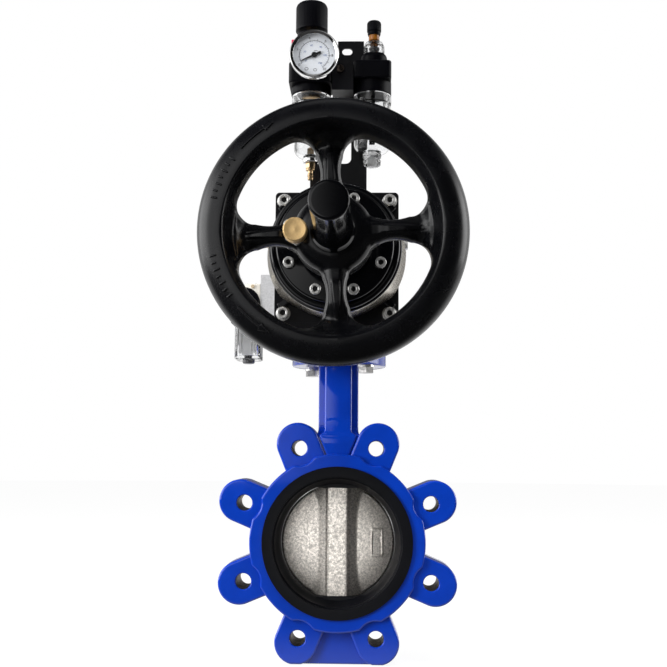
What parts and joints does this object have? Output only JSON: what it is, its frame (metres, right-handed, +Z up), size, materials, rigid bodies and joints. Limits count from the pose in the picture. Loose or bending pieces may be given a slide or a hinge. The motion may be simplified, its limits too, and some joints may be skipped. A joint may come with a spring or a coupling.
{
  "type": "air-actuated butterfly valve",
  "caption": "Lug butterfly valve with a quarter-turn rack-and-pinion air actuator, a handwheel override, a solenoid valve and an air preparation unit.",
  "frame": {"origin": "centre of the valve bore, midway through the valve body", "axes": "+Z up along the valve stem, -Y along the pipe towards the handwheel, +X to the right as seen from the handwheel"},
  "size_m": [0.212, 0.424, 0.5948],
  "materials": {
    "blue_epoxy": "gloss",
    "black_paint": "gloss",
    "silver_body": "anodised satin",
    "cast_grey": "rough cast",
    "nickel_iron": "nickel-plated cast",
    "steel": "machined",
    "bright_steel": "bright",
    "brass": "turned",
    "black_rubber": "matt",
    "black_plastic": "satin",
    "bearing_plastic": "matt",
    "yellow_plastic": "satin",
    "amber_plastic": "gloss",
    "white_dial": "matt",
    "clear_plastic": "clear",
    "clear_grey": "clear"
  },
  "bodies": {
    "root": {"valve_body": "blue_epoxy", "seat_liner": "black_rubber", "stem_bushes": "bearing_plastic", "stem_seal": "black_rubber", "bottom_plug": "steel", "mounting_spacer": "black_paint", "mounting_bolts": "bright_steel", "mounting_washers": "bright_steel", "actuator_body": "silver_body", "front_end_cap": "black_paint", "rear_end_cap": "black_paint", "cap_screws": "bright_steel", "cap_washers": "bright_steel", "cap_seals": "black_rubber", "pinion_bushes": "bearing_plastic", "stop_screws": "bright_steel", "override_housing": "black_paint", "housing_cover": "black_paint", "cover_screws": "bright_steel", "thrust_bearing": "steel", "support_bracket": "black_paint", "bracket_screws": "bright_steel", "joining_block": "black_plastic", "regulator_body": "black_plastic", "gauge_case": "bright_steel", "gauge_dial": "white_dial", "gauge_glass": "clear_plastic", "filter_bowl": "clear_plastic", "lubricator_body": "black_plastic", "sight_dome": "clear_plastic", "lubricator_bowl": "clear_plastic", "solenoid_body": "cast_grey", "solenoid_coil": "black_plastic", "plug_connector": "clear_grey", "exhaust_silencers": "brass"},
    "drive_train": {"valve_disc": "nickel_iron", "upper_stem": "steel", "lower_stem": "steel", "pinion": "steel", "snap_ring": "steel", "position_indicator": "yellow_plastic", "indicator_screw": "bright_steel"},
    "front_piston": {"front_piston": "silver_body", "front_piston_rings": "bearing_plastic", "spindle": "steel"},
    "rear_piston": {"rear_piston": "silver_body", "rear_piston_rings": "bearing_plastic"},
    "handwheel": {"handwheel": "black_paint", "drive_nut": "brass", "spindle_cap": "black_plastic", "plunger_nut": "bright_steel"},
    "lock_plunger": {"lock_plunger": "brass"},
    "adjusting_screw": {"adjusting_screw": "brass"},
    "regulator_knob": {"regulator_knob": "black_plastic"},
    "gauge_needle": {"gauge_needle": "black_plastic"},
    "drain_valve": {"drain_valve": "brass"},
    "lubricator_needle": {"lubricator_stem": "amber_plastic", "lubricator_knob": "black_plastic"},
    "spool": {"spool": "steel"},
    "override_button": {"override_button": "brass"}
  },
  "joints": [
    {"name": "handwheel_spin", "type": "hinge", "parent": "root", "child": "handwheel", "pos_m": [0, -0.2, 0.241], "axis": [0, -1, 0], "range_deg": [0, 2120]},
    {"name": "stem_turn", "type": "hinge", "parent": "root", "child": "drive_train", "pos_m": [0, 0, 0.241], "axis": [0, 0, 1], "range_deg": [0, 90]},
    {"name": "front_piston_slide", "type": "slide", "parent": "root", "child": "front_piston", "axis": [0, -1, 0], "range_m": [0, 0.02357]},
    {"name": "rear_piston_slide", "type": "slide", "parent": "root", "child": "rear_piston", "axis": [0, 1, 0], "range_m": [0, 0.02357]},
    {"name": "lock_plunger_pull", "type": "slide", "parent": "handwheel", "child": "lock_plunger", "axis": [0, -1, 0], "range_m": [0, 0.005], "stiffness_N_per_m": 800},
    {"name": "adjusting_screw_turn", "type": "hinge", "parent": "root", "child": "adjusting_screw", "pos_m": [-0.0259, -0.044, 0.45], "axis": [0, 0, 1], "range_deg": [0, 1080]},
    {"name": "regulator_knob_lift", "type": "slide", "parent": "adjusting_screw", "child": "regulator_knob", "axis": [0, 0, 1], "range_m": [0, 0.003]},
    {"name": "gauge_needle_swing", "type": "hinge", "parent": "root", "child": "gauge_needle", "pos_m": [-0.0213, -0.085, 0.424], "axis": [0, 1, 0], "range_deg": [0, 260], "stiffness_Nm_per_rad": 0.0005},
    {"name": "filter_drain_turn", "type": "hinge", "parent": "root", "child": "drain_valve", "pos_m": [-0.0259, -0.044, 0.34], "axis": [0, 0, 1], "range_deg": [0, 180]},
    {"name": "lubricator_turn", "type": "hinge", "parent": "root", "child": "lubricator_needle", "pos_m": [0.0311, -0.044, 0.46], "axis": [0, 0, 1], "range_deg": [0, 720]},
    {"name": "spool_shift", "type": "slide", "parent": "root", "child": "spool", "axis": [0, -1, 0], "range_m": [0, 0.004], "stiffness_N_per_m": 1500},
    {"name": "override_button_press", "type": "slide", "parent": "root", "child": "override_button", "axis": [0, 1, 0], "range_m": [0, 0.0015], "stiffness_N_per_m": 500}
  ],
  "couplings": [
    {"joint": "stem_turn", "follows": "handwheel_spin", "ratio": 0.042441},
    {"joint": "front_piston_slide", "follows": "handwheel_spin", "m_per_rad": 0.00063662},
    {"joint": "rear_piston_slide", "follows": "handwheel_spin", "m_per_rad": 0.00063662}
  ]
}
